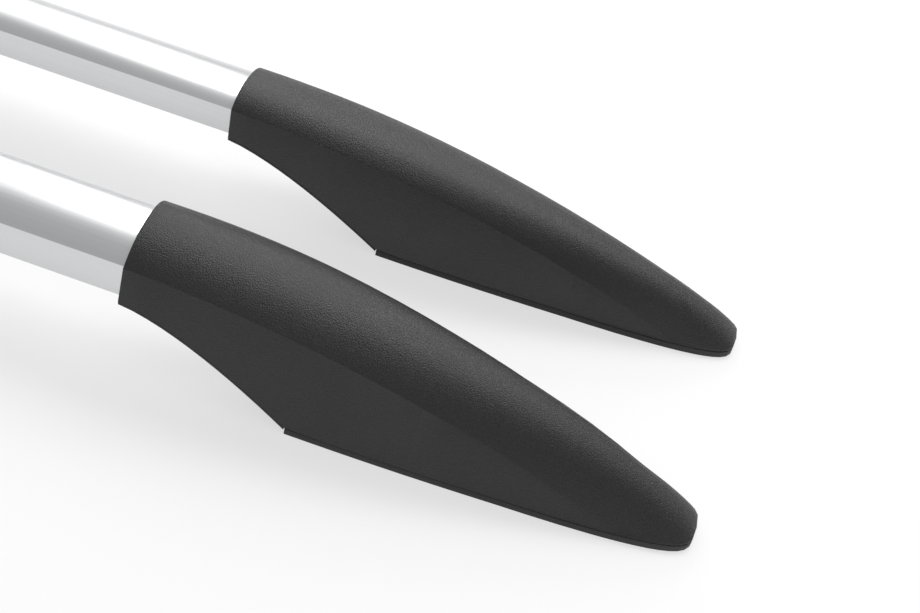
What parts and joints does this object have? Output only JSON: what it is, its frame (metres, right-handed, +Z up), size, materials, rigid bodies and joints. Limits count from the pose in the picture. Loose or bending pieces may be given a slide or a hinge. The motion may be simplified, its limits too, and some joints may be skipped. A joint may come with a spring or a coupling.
{
  "type": "pair of roof rails",
  "caption": "Pair of vehicle roof rails: crowned hollow aluminium bars, each on streamlined black moulded feet with flat soles.",
  "frame": {"origin": "on the floor under the middle of the pair", "axes": "+X along the rails towards the front feet, +Y from the left rail to the right rail, +Z up"},
  "size_m": [1.5, 0.201, 0.0753],
  "materials": {
    "bar": "satin brushed anodised",
    "foot": "fine moulded grain",
    "gasket": "matte",
    "bracket": "as cast",
    "screws": "zinc plated"
  },
  "bodies": {
    "root": {"bar_left": "bar", "foot_shell_left_front": "foot", "arch_cover_left_front": "foot", "sole_gasket_left_front": "gasket", "foot_bracket_left_front": "bracket", "bar_screws_left_front": "screws", "foot_shell_left_rear": "foot", "arch_cover_left_rear": "foot", "sole_gasket_left_rear": "gasket", "foot_bracket_left_rear": "bracket", "bar_screws_left_rear": "screws", "bar_right": "bar", "foot_shell_right_front": "foot", "arch_cover_right_front": "foot", "sole_gasket_right_front": "gasket", "foot_bracket_right_front": "bracket", "bar_screws_right_front": "screws", "foot_shell_right_rear": "foot", "arch_cover_right_rear": "foot", "sole_gasket_right_rear": "gasket", "foot_bracket_right_rear": "bracket", "bar_screws_right_rear": "screws"}
  },
  "joints": []
}
